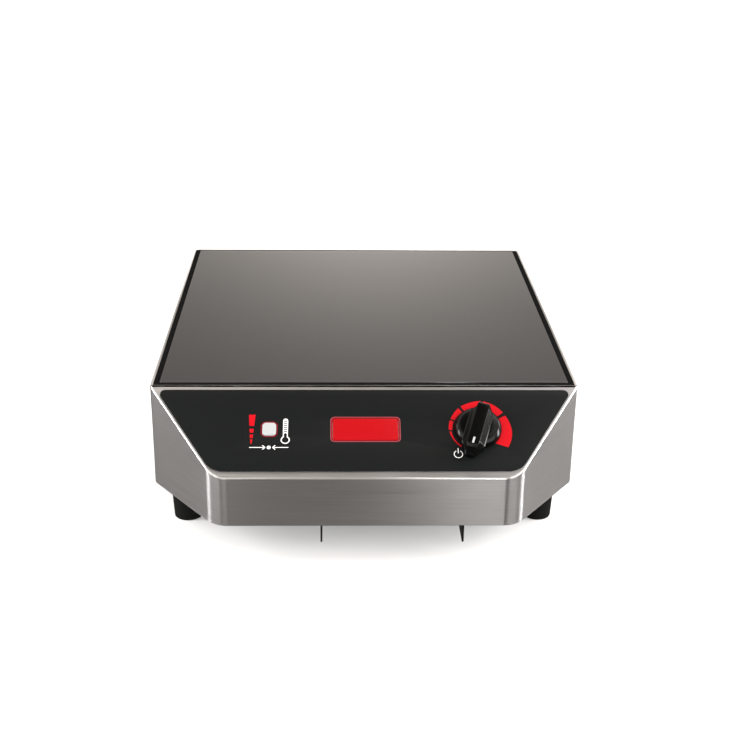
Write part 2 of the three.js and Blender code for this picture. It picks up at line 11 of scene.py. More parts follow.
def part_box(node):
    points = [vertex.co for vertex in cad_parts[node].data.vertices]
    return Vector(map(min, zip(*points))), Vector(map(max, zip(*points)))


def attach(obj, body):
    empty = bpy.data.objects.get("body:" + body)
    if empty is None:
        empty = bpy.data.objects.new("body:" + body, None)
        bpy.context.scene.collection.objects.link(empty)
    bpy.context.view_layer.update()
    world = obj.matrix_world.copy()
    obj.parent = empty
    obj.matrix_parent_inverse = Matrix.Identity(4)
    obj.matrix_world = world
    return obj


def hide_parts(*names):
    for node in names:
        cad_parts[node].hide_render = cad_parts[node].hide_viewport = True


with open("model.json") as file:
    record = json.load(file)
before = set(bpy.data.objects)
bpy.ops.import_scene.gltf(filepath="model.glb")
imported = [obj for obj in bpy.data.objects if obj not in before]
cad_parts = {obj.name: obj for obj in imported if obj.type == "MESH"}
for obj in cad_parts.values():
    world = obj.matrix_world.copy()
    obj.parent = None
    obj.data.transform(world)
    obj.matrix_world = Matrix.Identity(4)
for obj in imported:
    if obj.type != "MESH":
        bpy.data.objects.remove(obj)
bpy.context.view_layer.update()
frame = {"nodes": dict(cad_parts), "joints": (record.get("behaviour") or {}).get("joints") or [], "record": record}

MM = 0.001
TURN = 2 * math.pi

# ---- Places read from the frame ----
JOINTS = {joint["name"]: joint for joint in frame["joints"]}
HOUSE_LOW, HOUSE_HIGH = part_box("housing")
HALF_WIDTH = HOUSE_HIGH.x
FRONT_Y = HOUSE_LOW.y
BACK_Y = HOUSE_HIGH.y
BODY_Z = HOUSE_LOW.z
RIM_Z = HOUSE_HIGH.z
KNOB_AT = Vector(JOINTS["knob_turn"]["pos_m"])
OUTWARD = -Vector(JOINTS["knob_turn"]["axis"]).normalized()
SLOPE = math.atan2(-OUTWARD.y, OUTWARD.z)  # of the fascia, from level
EDGE_Y = KNOB_AT.y + (RIM_Z - KNOB_AT.z) / math.tan(SLOPE)  # where the fascia meets the rim
# The fascia's own frame: origin in the middle of its top edge, Y up the slope, Z out of the steel.
FASCIA = Matrix.Translation((0, EDGE_Y, RIM_Z)) @ Matrix.Rotation(SLOPE, 4, "X")
KNOB_LOCAL = FASCIA.inverted() @ KNOB_AT

# ---- Light ----
WARM = (1, 0.93, 0.865)  # tint of the light tent
WORLD_LIGHT = 3.6  # radiance of a full-level patch of the tent
# Height on the tent, from the horizon at 0 to straight above at 1, and the level of light there.
TENT_LEVELS = [
    (0.0, 0.03), (0.05, 0.12), (0.20, 0.15), (0.30, 0.13), (0.40, 0.13), (0.52, 0.30),
    (0.66, 0.56), (0.80, 0.38), (0.90, 0.14), (0.97, 0.03),
]
# Soft glows in the tent: the direction they stand in, how tight they are and how bright.
GLOWS = [
    ((0.03, 1, 0.176), 70, 1.7),
    ((0.30, 0.55, 0.78), 30, 5.5),
    ((0.87, 0.48, 0.10), 14, 0.4),
]
# Softboxes, all facing the middle of the front: name, place, width and height, radiance.
SOFTBOXES = [
    ("side_left", (-1.5, -0.27, 0.5), (0.40, 0.9), 18),
    ("side_right", (1.65, -0.20, 0.58), (0.34, 1.1), 28),
    ("corner_left", (-1.36, 0.41, 0.5), (0.5, 0.9), 3.4),
    ("corner_right", (1.31, 0.51, 0.5), (0.5, 0.9), 4.8),
    ("front_left", (-0.55, -1.8, 0.6), (0.6, 1.1), 1.9),
    ("front_far_left", (-1.3, -1.15, 0.6), (1.1, 1.1), 3),
    ("front_right", (0.31, -1.9, 0.6), (0.10, 1.1), 15),
    ("front_far_right", (1.2, -1.3, 0.6), (1.2, 1.1), 3.5),
    ("overhead", (0.75, -0.15, 1.6), (1.0, 0.5), 1.2),
]
FRONT_MIDDLE = (0, -0.22, 0.08)  # what the softboxes face
FLOOR_RADIUS = 12
FLOOR_WALL = 2.5  # height of the low wall round the floor

# ---- Sizes shared by several pieces ----
SHEET = 1.2 * MM
GAP = 0.3 * MM  # clearance between pieces
TOUCH = 0.02 * MM  # two points this near count as the same
CORNER_CUT = 57 * MM  # width that each cut-off corner takes from the front
BENDS = {"front": 22 * MM, "side": 10 * MM, "rear": 4 * MM}  # radius of the bends, from above
RIM_WIDTH = 2 * MM  # steel left round the glass recess
LEDGE_WIDTH = 14 * MM  # ledge under the edge of the glass
HEM_WIDTH = 8 * MM  # inward flange round the lower edge
REAR_FLANGE = 20 * MM  # steel left at each side of the rear opening
FOLD = 1.3 * MM  # how far a full fold's rounding reaches
OVERLAY_TOP = 0.8 * MM  # front face of the overlay, above the fascia's steel
INK = 0.05 * MM  # thickness of the printing
# Middles of the display and the button in the fascia's frame.
DISPLAY = Vector((0, -44 * MM))
DISPLAY_SIZE = (53.2 * MM, 20.9 * MM)
BUTTON = Vector((-78.4 * MM, -44 * MM))
BUTTON_SIZE = (11.2 * MM, 12.2 * MM)
KNOB_HEIGHT = 13.4 * MM
KNOB_REST = math.radians(-17)  # how far the knob is turned at rest
# Places on the rear face: across, and up from the housing's lower edge.
GLAND_X, GLAND_UP = -110 * MM, 28 * MM
REAR_SCREW_X, REAR_SCREW_UP = 166.5 * MM, 45 * MM


# ---- Camera and stage ----

def make_camera():
    """The camera stands in front of the hob, a little left of its middle, and looks down at it."""
    yaw, pitch, roll = (math.radians(a) for a in (1.570, 22.205, 0.661))
    data = bpy.data.cameras.new("camera")
    data.lens = 64.416
    data.sensor_width = 36
    data.clip_end = 50
    camera = bpy.data.objects.new("camera", data)
    bpy.context.scene.collection.objects.link(camera)
    aim = Matrix.Rotation(-yaw, 4, "Z") @ Matrix.Rotation(math.pi / 2 - pitch, 4, "X")
    place = Vector((-0.0275, EDGE_Y - 1.0042, BODY_Z + 0.5190))
    camera.matrix_world = Matrix.Translation(place) @ aim @ Matrix.Rotation(roll, 4, "Z")
    bpy.context.scene.camera = camera


def softbox(name, place, size, radiance):
    """An area light that faces the middle of the hob's front, and that the camera doesn't see."""
    data = bpy.data.lights.new(name, "AREA")
    data.shape = "RECTANGLE"
    data.size, data.size_y = size
    data.energy = radiance * math.pi * size[0] * size[1]
    light = bpy.data.objects.new(name, data)
    bpy.context.scene.collection.objects.link(light)
    light.location = place
    light.rotation_euler = (Vector(FRONT_MIDDLE) - Vector(place)).to_track_quat("-Z", "Y").to_euler()
    light.visible_camera = False


def make_world():
    """A tent of light: bright round its shoulders, dark straight above, with soft glows."""
    world = bpy.data.worlds.new("studio")
    bpy.context.scene.world = world
    world.use_nodes = True
    nodes, links = world.node_tree.nodes, world.node_tree.links
    direction = nodes.new("ShaderNodeTexCoord")
    parts = nodes.new("ShaderNodeSeparateXYZ")
    ramp = nodes.new("ShaderNodeValToRGB")
    links.new(direction.outputs["Generated"], parts.inputs["Vector"])
    links.new(parts.outputs["Z"], ramp.inputs["Fac"])
    stops = ramp.color_ramp.elements
    while len(stops) < len(TENT_LEVELS):
        stops.new(0.5)
    for stop, (height, level) in zip(stops, TENT_LEVELS):
        stop.position = height
        stop.color = (*(level * tint for tint in WARM), 1)
    nodes["Background"].inputs["Strength"].default_value = WORLD_LIGHT
    links.new(ramp.outputs["Color"], nodes["Background"].inputs["Color"])

    light = nodes["Background"].outputs["Background"]
    for toward, sharpness, level in GLOWS:
        facing = nodes.new("ShaderNodeVectorMath")
        facing.operation = "DOT_PRODUCT"
        facing.inputs[1].default_value = Vector(toward).normalized()
        links.new(direction.outputs["Generated"], facing.inputs[0])
        value = facing.outputs["Value"]
        for operation, amount in (("MAXIMUM", 0), ("POWER", sharpness), ("MULTIPLY", level)):
            step = nodes.new("ShaderNodeMath")
            step.operation = operation
            step.inputs[1].default_value = amount
            links.new(value, step.inputs[0])
            value = step.outputs[0]
        glow = nodes.new("ShaderNodeBackground")
        glow.inputs["Color"].default_value = (*WARM, 1)
        links.new(value, glow.inputs["Strength"])
        both = nodes.new("ShaderNodeAddShader")
        links.new(light, both.inputs[0])
        links.new(glow.outputs["Background"], both.inputs[1])
        light = both.outputs["Shader"]
    links.new(light, nodes["World Output"].inputs["Surface"])


def make_stage():
    """Softboxes, and a white floor with a low wall far away so that its edge never shows."""
    bpy.context.scene.view_settings.view_transform = "Standard"
    make_world()
    for row in SOFTBOXES:
        softbox(*row)

    ring = circle(FLOOR_RADIUS)
    count = len(ring)
    mesh = bpy.data.meshes.new("floor")
    corners = [(p.x, p.y, z) for z in (0, FLOOR_WALL) for p in ring]
    walls = [(i, (i + 1) % count, (i + 1) % count + count, i + count) for i in range(count)]
    mesh.from_pydata(corners, [], [tuple(range(count)), *walls])
    floor = bpy.data.objects.new("floor", mesh)
    bpy.context.scene.collection.objects.link(floor)
    acrylic = finish(
        "floor_acrylic", (0.80, 0.80, 0.80), (0.78, 0.78, 0.78), 0.9, scale=3, specular=0.1,
        emission=0.25,
    )
    mesh.materials.append(acrylic)
    floor.visible_glossy = False  # the steel mirrors the tent and the softboxes alone


# ---- Materials ----

FINISHES = {}


def finish(
    name, color, tone, rough, rough_span=0.06, scale=300, stretch=(1, 1, 1), bump=0.0, bump_scale=None,
    metallic=0.0, specular=0.5, emission=0.0, grain=0.0,
):
    """A finish that drifts between two colours and roughnesses, with fine relief if bump is given."""
    made = bpy.data.materials.new(name)
    made.use_nodes = True
    nodes, links = made.node_tree.nodes, made.node_tree.links
    shader = nodes["Principled BSDF"]
    shader.inputs["Metallic"].default_value = metallic
    shader.inputs["Specular IOR Level"].default_value = specular
    if grain:
        shader.inputs["Anisotropic"].default_value = grain
        shader.inputs["Anisotropic Rotation"].default_value = 0.25
        tangent = nodes.new("ShaderNodeTangent")
        tangent.direction_type = "RADIAL"
        tangent.axis = "Z"
        links.new(tangent.outputs["Tangent"], shader.inputs["Tangent"])

    places = nodes.new("ShaderNodeTexCoord")
    mapping = nodes.new("ShaderNodeMapping")
    mapping.inputs["Scale"].default_value = stretch
    links.new(places.outputs["Object"], mapping.inputs["Vector"])

    noise = noise_node(nodes, links, mapping, scale, detail=4)
    mix = nodes.new("ShaderNodeMix")
    mix.data_type = "RGBA"
    mix.inputs["A"].default_value = (*tone, 1)
    mix.inputs["B"].default_value = (*color, 1)
    links.new(noise.outputs["Fac"], mix.inputs["Factor"])
    links.new(mix.outputs["Result"], shader.inputs["Base Color"])
    if emission:
        links.new(mix.outputs["Result"], shader.inputs["Emission Color"])
        shader.inputs["Emission Strength"].default_value = emission

    spread = nodes.new("ShaderNodeMapRange")
    spread.inputs["To Min"].default_value = max(rough - rough_span, 0.02)
    spread.inputs["To Max"].default_value = min(rough + rough_span, 1)
    links.new(noise.outputs["Fac"], spread.inputs["Value"])
    links.new(spread.outputs["Result"], shader.inputs["Roughness"])

    if bump:
        relief = noise_node(nodes, links, mapping, bump_scale or scale, detail=2)
        bumps = nodes.new("ShaderNodeBump")
        bumps.inputs["Strength"].default_value = 1.0
        bumps.inputs["Distance"].default_value = bump
        links.new(relief.outputs["Fac"], bumps.inputs["Height"])
        links.new(bumps.outputs["Normal"], shader.inputs["Normal"])
    FINISHES[name] = made
    return made


def noise_node(nodes, links, mapping, scale, detail):
    noise = nodes.new("ShaderNodeTexNoise")
    noise.inputs["Scale"].default_value = scale
    noise.inputs["Detail"].default_value = detail
    noise.inputs["Roughness"].default_value = 0.6
    links.new(mapping.outputs["Vector"], noise.inputs["Vector"])
    return noise


def make_finishes():
    """One finish for each of the record's material slots, and the printing inks."""
    finish(
        "housing_steel", (0.585, 0.571, 0.566), (0.40, 0.391, 0.387), 0.32, 0.05, scale=1500,
        stretch=(0.012, 0.012, 1), bump=0.000006, bump_scale=1500, metallic=1.0, grain=0.95,
    )
    metal = {"rough_span": 0.1, "metallic": 1.0}
    # rail_steel is almost black: a painted shade that stands in for the shade the rails sit in under the body
    finish("rail_steel", (0.05, 0.048, 0.046), (0.03, 0.029, 0.028), 0.45, scale=160, **metal)
    finish("zinc_steel", (0.62, 0.62, 0.60), (0.46, 0.46, 0.45), 0.42, scale=160, **metal)
    finish("copper_wire", (0.55, 0.21, 0.09), (0.40, 0.13, 0.05), 0.35, scale=800, **metal)
    finish(
        "aluminium_bare", (0.70, 0.71, 0.72), (0.56, 0.57, 0.58), 0.38, 0.08, scale=500,
        stretch=(0.03, 1, 1), metallic=1.0,
    )
    finish("glass_black", (0.016, 0.015, 0.015), (0.012, 0.011, 0.011), 0.06, 0.02, scale=40)
    finish(
        "gasket_black", (0.005, 0.005, 0.005), (0.003, 0.003, 0.003), 0.85, scale=700, specular=0.02,
    )
    finish(
        "overlay_black", (0.0058, 0.0067, 0.0067), (0.0042, 0.0051, 0.0051), 0.5, 0.05, scale=1400,
        bump=0.00001, bump_scale=2600, specular=0.08,
    )
    finish(
        "lens_red", (0.335, 0.005, 0.008), (0.305, 0.004, 0.006), 0.22, 0.04, scale=220, specular=0.12,
    )
    finish("button_white", (0.37, 0.385, 0.39), (0.345, 0.36, 0.365), 0.35, 0.05, scale=500)
    finish(
        "knob_black", (0.002, 0.002, 0.002), (0.0015, 0.0015, 0.0015), 0.16, 0.03, scale=500,
        bump=0.000004, bump_scale=900, specular=0.16,
    )
    finish(
        "foot_rubber", (0.006, 0.006, 0.006), (0.0035, 0.0035, 0.0035), 0.6, 0.08, scale=900,
        bump=0.00004, bump_scale=1400, specular=0.12,
    )
    plastic = {"scale": 600, "bump": 0.00002}
    finish("plastic_grey", (0.06, 0.062, 0.065), (0.045, 0.047, 0.05), 0.55, **plastic)
    finish("plastic_black", (0.014, 0.014, 0.015), (0.01, 0.01, 0.01), 0.5, **plastic)
    finish("board_green", (0.012, 0.085, 0.035), (0.008, 0.06, 0.026), 0.4, scale=260)
    finish("ferrite_grey", (0.04, 0.038, 0.036), (0.028, 0.027, 0.026), 0.7, scale=900)
    finish("mica_tan", (0.50, 0.40, 0.24), (0.40, 0.30, 0.17), 0.6, scale=120)
    finish("film_blue", (0.03, 0.08, 0.20), (0.02, 0.06, 0.15), 0.35, scale=300)
    inks = [
        ("ink_red", (0.46, 0.004, 0.009), (0.42, 0.003, 0.008), 0.08),
        ("ink_dark_red", (0.20, 0.006, 0.012), (0.15, 0.004, 0.008), 0.15),
        ("ink_rose", (0.34, 0.085, 0.10), (0.28, 0.065, 0.08), 0.15),
        ("ink_white", (0.80, 0.79, 0.79), (0.74, 0.73, 0.73), 0.2),
    ]
    for name, color, tone, specular in inks:
        finish(name, color, tone, 0.45, scale=900, specular=specular)


# ---- Meshes ----

def add_piece(name, mesh, finish_name, body="body", slot=None, replaces=()):
    """Puts a finished mesh into the scene as a piece that rides on a body."""
    piece = bpy.data.objects.new(name, mesh)
    bpy.context.scene.collection.objects.link(piece)
    mesh.materials.append(FINISHES[finish_name])
    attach(piece, body)
    if replaces:
        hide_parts(*replaces)
    return piece


def close_mesh(bm, name, place=Matrix.Identity(4), sharp=32):
    """Turns a bmesh into a mesh that shades smoothly except over its sharp edges."""
    bmesh.ops.remove_doubles(bm, verts=bm.verts, dist=1e-6)
    bmesh.ops.recalc_face_normals(bm, faces=bm.faces)
    mark_sharp(bm, sharp)
    mesh = bpy.data.meshes.new(name)
    bm.to_mesh(mesh)
    bm.free()
    mesh.transform(place)
    return mesh


def mark_sharp(bm, sharp):
    limit = math.radians(sharp)
    for face in bm.faces:
        face.smooth = True
    for edge in bm.edges:
        edge.smooth = len(edge.link_faces) == 2 and edge.calc_face_angle(0) < limit


def rounded(points, radii, step=math.radians(5)):
    """A closed outline through the points, counter-clockwise, with each corner rounded by an arc."""
    outline = []
    count = len(points)
    for i, (point, radius) in enumerate(zip(points, radii)):
        corner = Vector(point)
        before = (Vector(points[i - 1]) - corner).normalized()
        after = (Vector(points[(i + 1) % count]) - corner).normalized()
        half = before.angle(after) / 2
        if radius < 1e-6:
            outline.append(corner)
            continue
        centre = corner + (before + after).normalized() * (radius / math.sin(half))
        start = corner + before * (radius / math.tan(half)) - centre
        sweep = math.pi - 2 * half
        pieces = max(2, round(sweep / step))
        for k in range(pieces + 1):
            turn = Matrix.Rotation(sweep * k / pieces, 2)
            outline.append(centre + turn @ start)
    return outline


def rounded_rectangle(width, height, radius, centre=(0, 0), step=math.radians(10)):
    x, y = width / 2, height / 2
    corners = [(x, y), (-x, y), (-x, -y), (x, -y)]
    return [p + Vector(centre) for p in rounded(corners, [radius] * 4, step)]


def circle(radius, centre=(0, 0), count=48):
    angles = [TURN * i / count for i in range(count)]
    return [Vector(centre) + Vector((radius * math.cos(a), radius * math.sin(a))) for a in angles]


def plate(name, outline, thickness, holes=(), bevel=0.0, segments=2, place=Matrix.Identity(4), base=0.0):
    """A flat plate of that outline, standing on z = base, with holes and softened edges."""
    curve = bpy.data.curves.new(name, "CURVE")
    curve.dimensions = "2D"
    curve.fill_mode = "BOTH"
    curve.extrude = thickness / 2 - bevel
    curve.bevel_depth = bevel
    curve.bevel_resolution = segments
    curve.offset = -bevel
    for loop in [outline, *holes]:
        spline = curve.splines.new("POLY")
        spline.points.add(len(loop) - 1)
        spline.points.foreach_set("co", [value for p in loop for value in (p[0], p[1], 0, 1)])
        spline.use_cyclic_u = True
    holder = bpy.data.objects.new(name + "_outline", curve)
    bpy.context.scene.collection.objects.link(holder)
    evaluated = holder.evaluated_get(bpy.context.evaluated_depsgraph_get())
    raw = bpy.data.meshes.new_from_object(evaluated)
    bm = bmesh.new()
    bm.from_mesh(raw)
    bpy.data.objects.remove(holder)
    bpy.data.curves.remove(curve)
    bpy.data.meshes.remove(raw)
    bmesh.ops.translate(bm, verts=bm.verts, vec=(0, 0, base + thickness / 2))
    return close_mesh(bm, name, place)


def lathe(name, profile, count=64, place=Matrix.Identity(4), sharp=32):
    """A solid of revolution about Z; the profile runs upwards, and ends on the axis or closes."""
    bm = bmesh.new()
    rings = []
    for radius, height in profile:
        if radius < 1e-7:
            rings.append([bm.verts.new((0, 0, height))])
            continue
        angles = [TURN * i / count for i in range(count)]
        spots = [(radius * math.cos(a), radius * math.sin(a), height) for a in angles]
        rings.append([bm.verts.new(spot) for spot in spots])
    for low, high in zip(rings, rings[1:]):
        for i in range(count):
            lower = [low[i % len(low)], low[(i + 1) % len(low)]]
            upper = [high[(i + 1) % len(high)], high[i % len(high)]]
            face = list(dict.fromkeys(lower + upper))
            if len(face) > 2:
                bm.faces.new(face)
    return close_mesh(bm, name, place, sharp)


def arc_profile(centre, radius, start, end, count=6):
    """Points of an arc in a lathe profile; angles in degrees from the outward direction."""
    angles = [math.radians(start + (end - start) * i / count) for i in range(count + 1)]
    return [(centre[0] + radius * math.cos(a), centre[1] + radius * math.sin(a)) for a in angles]


def prism(outline, low, high):
    """A temporary upright solid between two heights."""
    bm = bmesh.new()
    bottom = [bm.verts.new((p[0], p[1], low)) for p in outline]
    top = [bm.verts.new((p[0], p[1], high)) for p in outline]
    count = len(outline)
    bm.faces.new(bottom[::-1])
    bm.faces.new(top)
    for i in range(count):
        j = (i + 1) % count
        bm.faces.new((bottom[i], bottom[j], top[j], top[i]))
    bmesh.ops.recalc_face_normals(bm, faces=bm.faces)
    return temporary(bm)


def block(low, high, place=Matrix.Identity(4)):
    outline = [(low[0], low[1]), (high[0], low[1]), (high[0], high[1]), (low[0], high[1])]
    made = prism(outline, low[2], high[2])
    made.data.transform(place)
    return made


def temporary(bm):
    mesh = bpy.data.meshes.new("temporary")
    bm.to_mesh(mesh)
    bm.free()
    made = bpy.data.objects.new("temporary", mesh)
    bpy.context.scene.collection.objects.link(made)
    return made


def combine(target, others, operation="DIFFERENCE"):
    """Cuts the others from the target, or joins them to it, and removes them."""
    for other in others:
        change = target.modifiers.new("combine", "BOOLEAN")
        change.operation = operation
        change.solver = "EXACT"
        change.object = other
        evaluated = target.evaluated_get(bpy.context.evaluated_depsgraph_get())
        result = bpy.data.meshes.new_from_object(evaluated)
        target.modifiers.clear()
        old = target.data
        target.data = result
        bpy.data.meshes.remove(old)
        bpy.data.objects.remove(other)
    return target


def take_mesh(target, name, sharp=32):
    """The mesh of a temporary solid, which is then removed."""
    bm = bmesh.new()
    bm.from_mesh(target.data)
    bpy.data.objects.remove(target)
    return close_mesh(bm, name, sharp=sharp)


# ---- Housing ----

def plan(inset):
    """The housing's outline from above, moved inwards."""
    half = HALF_WIDTH
    corners = [
        (half, BACK_Y),
        (-half, BACK_Y),
        (-half, EDGE_Y),
        (-half + CORNER_CUT, FRONT_Y),
        (half - CORNER_CUT, FRONT_Y),
        (half, EDGE_Y),
    ]
    radii = [BENDS[k] for k in ("rear", "rear", "side", "front", "front", "side")]
    moved = []
    for i, corner in enumerate(corners):
        here = Vector(corner)
        first = (here - Vector(corners[i - 1])).normalized()
        second = (Vector(corners[(i + 1) % len(corners)]) - here).normalized()
        n1, n2 = Vector((-first.y, first.x)), Vector((-second.y, second.x))
        moved.append(here + (n1 + n2) * (inset / (1 + n1.dot(n2))))
    return rounded(moved, [max(r - inset, 0.8 * MM) for r in radii], math.radians(3))


def above_fascia(inset):
    """The space in front of the fascia, for a face set back by a distance."""
    wide, long, high = 0.3, 0.4, 0.2  # past the hob on every side
    return block((-wide, -long, -inset), (wide, long, high), FASCIA)


def recess_size(margin):
    """Width, depth and middle in Y of the glass recess, less a margin on every side."""
    width = 2 * (HALF_WIDTH - RIM_WIDTH - margin)
    front, back = EDGE_Y + RIM_WIDTH, BACK_Y - RIM_WIDTH
    return width, back - front - 2 * margin, (front + back) / 2


def make_housing():
    recess_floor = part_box("glass_gasket")[0].z - GAP
    ledge_z = recess_floor - SHEET
    half = HALF_WIDTH
    outer = combine(prism(plan(0), BODY_Z, RIM_Z), [above_fascia(0)])
    hollow = combine(prism(plan(SHEET), BODY_Z + SHEET, ledge_z), [above_fascia(SHEET)])
    width, depth, middle = recess_size(0)
    recess = prism(rounded_rectangle(width, depth, 1.6 * MM, (0, middle)), recess_floor, RIM_Z + 10 * MM)
    width, depth, middle = recess_size(LEDGE_WIDTH - RIM_WIDTH)
    window = prism(rounded_rectangle(width, depth, 3 * MM, (0, middle)), ledge_z - 2 * MM, RIM_Z)
    bottom = prism(plan(SHEET + HEM_WIDTH), BODY_Z - 2 * MM, BODY_Z + 4 * MM)
    rear = block(
        (-half + REAR_FLANGE, BACK_Y - 3 * MM, BODY_Z + 12.5 * MM),
        (half - REAR_FLANGE, BACK_Y + 2 * MM, ledge_z - 10 * MM),
    )
    behind_lens = [size - 5 * MM for size in DISPLAY_SIZE]
    behind_button = [size + 1 * MM for size in BUTTON_SIZE]
    outlines = [
        rounded_rectangle(*behind_lens, 2 * MM, DISPLAY),
        rounded_rectangle(*behind_button, 3 * MM, BUTTON),
        circle(4.9 * MM, KNOB_LOCAL.xy),
    ]
    holes = [prism(outline, -4 * MM, 4 * MM) for outline in outlines]
    for hole in holes:
        hole.data.transform(FASCIA)
    shell = combine(outer, [hollow, recess, window, bottom, rear, *holes])
    mesh = take_mesh(shell, "housing_shell", sharp=28)
    weigh_folds(mesh)
    piece = add_piece("housing_shell", mesh, "housing_steel", slot="housing_steel", replaces=["housing"])
    bevel = piece.modifiers.new("folds", "BEVEL")
    bevel.limit_method = "WEIGHT"
    bevel.width = FOLD
    bevel.segments = 5
    bevel.use_clamp_overlap = False
    bevel.loop_slide = False
    flat = piece.modifiers.new("flat_faces", "WEIGHTED_NORMAL")
    flat.keep_sharp = True


def weigh_folds(mesh):
    """Marks the outer folds to be rounded: the fascia's edges most, the rim and the hem a little."""
    bm = bmesh.new()
    bm.from_mesh(mesh)
    weight = bm.edges.layers.float.new("bevel_weight_edge")
    inverse = FASCIA.inverted()
    for edge in bm.edges:
        if len(edge.link_faces) != 2 or edge.calc_face_angle(0) < math.radians(20):
            continue
        a, b = (v.co for v in edge.verts)
        in_fascia = all(abs((inverse @ p).z) < TOUCH for p in (a, b))
        on_rim = all(abs(p.z - RIM_Z) < TOUCH for p in (a, b))
        on_hem = all(abs(p.z - BODY_Z) < TOUCH for p in (a, b))
        outside = all(is_outside(p) for p in (a, b))
        if in_fascia and (on_rim or outside):
            edge[weight] = 1.0
        elif on_rim:
            edge[weight] = 0.35
        elif on_hem and outside:
            edge[weight] = 0.5
    bm.to_mesh(mesh)
    bm.free()


def is_outside(point):
    """True for a point on the housing's outer outline."""
    return any((point.xy - p).length < TOUCH for p in OUTER_PLAN) or on_straight(point.xy)


def on_straight(point):
    count = len(OUTER_PLAN)
    for i in range(count):
        a, b = OUTER_PLAN[i], OUTER_PLAN[(i + 1) % count]
        along = b - a
        t = max(0, min(1, (point - a).dot(along) / along.length_squared))
        if (a + along * t - point).length < TOUCH:
            return True
    return False


OUTER_PLAN = plan(0)


def make_glass():
    low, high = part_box("glass_top")
    size = (high.x - low.x, high.y - low.y)
    outline = rounded_rectangle(*size, 2 * MM, (0, (low.y + high.y) / 2))
    glass = plate("glass_plate", outline, high.z - low.z, bevel=0.5 * MM, segments=3, base=low.z)
    add_piece("glass_plate", glass, "glass_black", slot="glass_black", replaces=["glass_top"])

    low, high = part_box("glass_gasket")
    middle = (low.y + high.y) / 2
    outer = rounded_rectangle(high.x - low.x, high.y - low.y, 1.5 * MM, (0, middle))
    inner = rounded_rectangle(size[0] + 2 * GAP, size[1] + 2 * GAP, 2 * MM, (0, middle))
    bead = plate("glass_bead", outer, high.z - low.z, [inner], bevel=0.4 * MM, base=low.z)
    add_piece("glass_bead", bead, "gasket_black", slot="gasket_black", replaces=["glass_gasket"])


# ---- Fascia ----

def on_fascia(name, outline, low, high, finish_name, holes=(), bevel=0.0, **riding):
    """A plate on the fascia, between two heights above its steel."""
    mesh = plate(name, outline, high - low, holes, bevel, place=FASCIA, base=low)
    add_piece(name, mesh, finish_name, **riding)


def printed(name, outline, finish_name, holes=()):
    """Ink on the overlay, thick enough to be a real surface."""
    on_fascia(name, outline, OVERLAY_TOP, OVERLAY_TOP + INK, finish_name, holes)


def make_overlay():
    top, bottom, half_top, half_bottom = (v * MM for v in (4.5, 84, 173.6, 124))
    corners = [(half_top, -top), (-half_top, -top), (-half_bottom, -bottom), (half_bottom, -bottom)]
    outline = rounded(corners, [4.5 * MM, 4.5 * MM, 18 * MM, 18 * MM])
    holes = [
        rounded_rectangle(*(size + 2 * GAP for size in DISPLAY_SIZE), 2.7 * MM, DISPLAY),
        rounded_rectangle(*(size + 3 * GAP for size in BUTTON_SIZE), 3.5 * MM, BUTTON),
        circle(8.5 * MM, KNOB_LOCAL.xy),
    ]
    on_fascia(
        "front_overlay", outline, GAP, OVERLAY_TOP, "overlay_black", holes, 0.08 * MM,
        slot="overlay_black", replaces=["control_overlay"],
    )


def make_display():
    outline = rounded_rectangle(*DISPLAY_SIZE, 2.4 * MM, DISPLAY)
    on_fascia(
        "display_lens", outline, GAP, OVERLAY_TOP + 0.2 * MM, "lens_red",
        bevel=0.15 * MM, slot="lens_red", replaces=["display_window"],
    )
    line = rounded_rectangle(57.2 * MM, 24.4 * MM, 3.6 * MM, DISPLAY)
    band = rounded_rectangle(56.5 * MM, 23.7 * MM, 3.3 * MM, DISPLAY)
    clear = rounded_rectangle(*(size + 2.2 * GAP for size in DISPLAY_SIZE), 2.7 * MM, DISPLAY)
    printed("display_border", line, "ink_rose", [band])
    printed("display_surround", band, "ink_dark_red", [clear])


def make_button():
    outline = rounded_rectangle(*BUTTON_SIZE, 3 * MM, BUTTON)
    on_fascia(
        "mode_button_cap", outline, -5 * MM, 2 * MM, "button_white", bevel=0.9 * MM, body="button",
        slot="button_white", replaces=["mode_button"],
    )
    outer = rounded_rectangle(*(size + 2.6 * MM for size in BUTTON_SIZE), 4.2 * MM, BUTTON)
    inner = rounded_rectangle(*(size + 3.2 * GAP for size in BUTTON_SIZE), 3.6 * MM, BUTTON)
    printed("button_ring", outer, "ink_dark_red", [inner])


def trapezoid(x, top, bottom, wide_top, wide_bottom):
    """An upright bar centred on x, between two distances down the fascia, in millimetres."""
    points = [
        (x + wide_top / 2, -top),
        (x - wide_top / 2, -top),
        (x - wide_bottom / 2, -bottom),
        (x + wide_bottom / 2, -bottom),
    ]
    return [Vector(p) * MM for p in points]


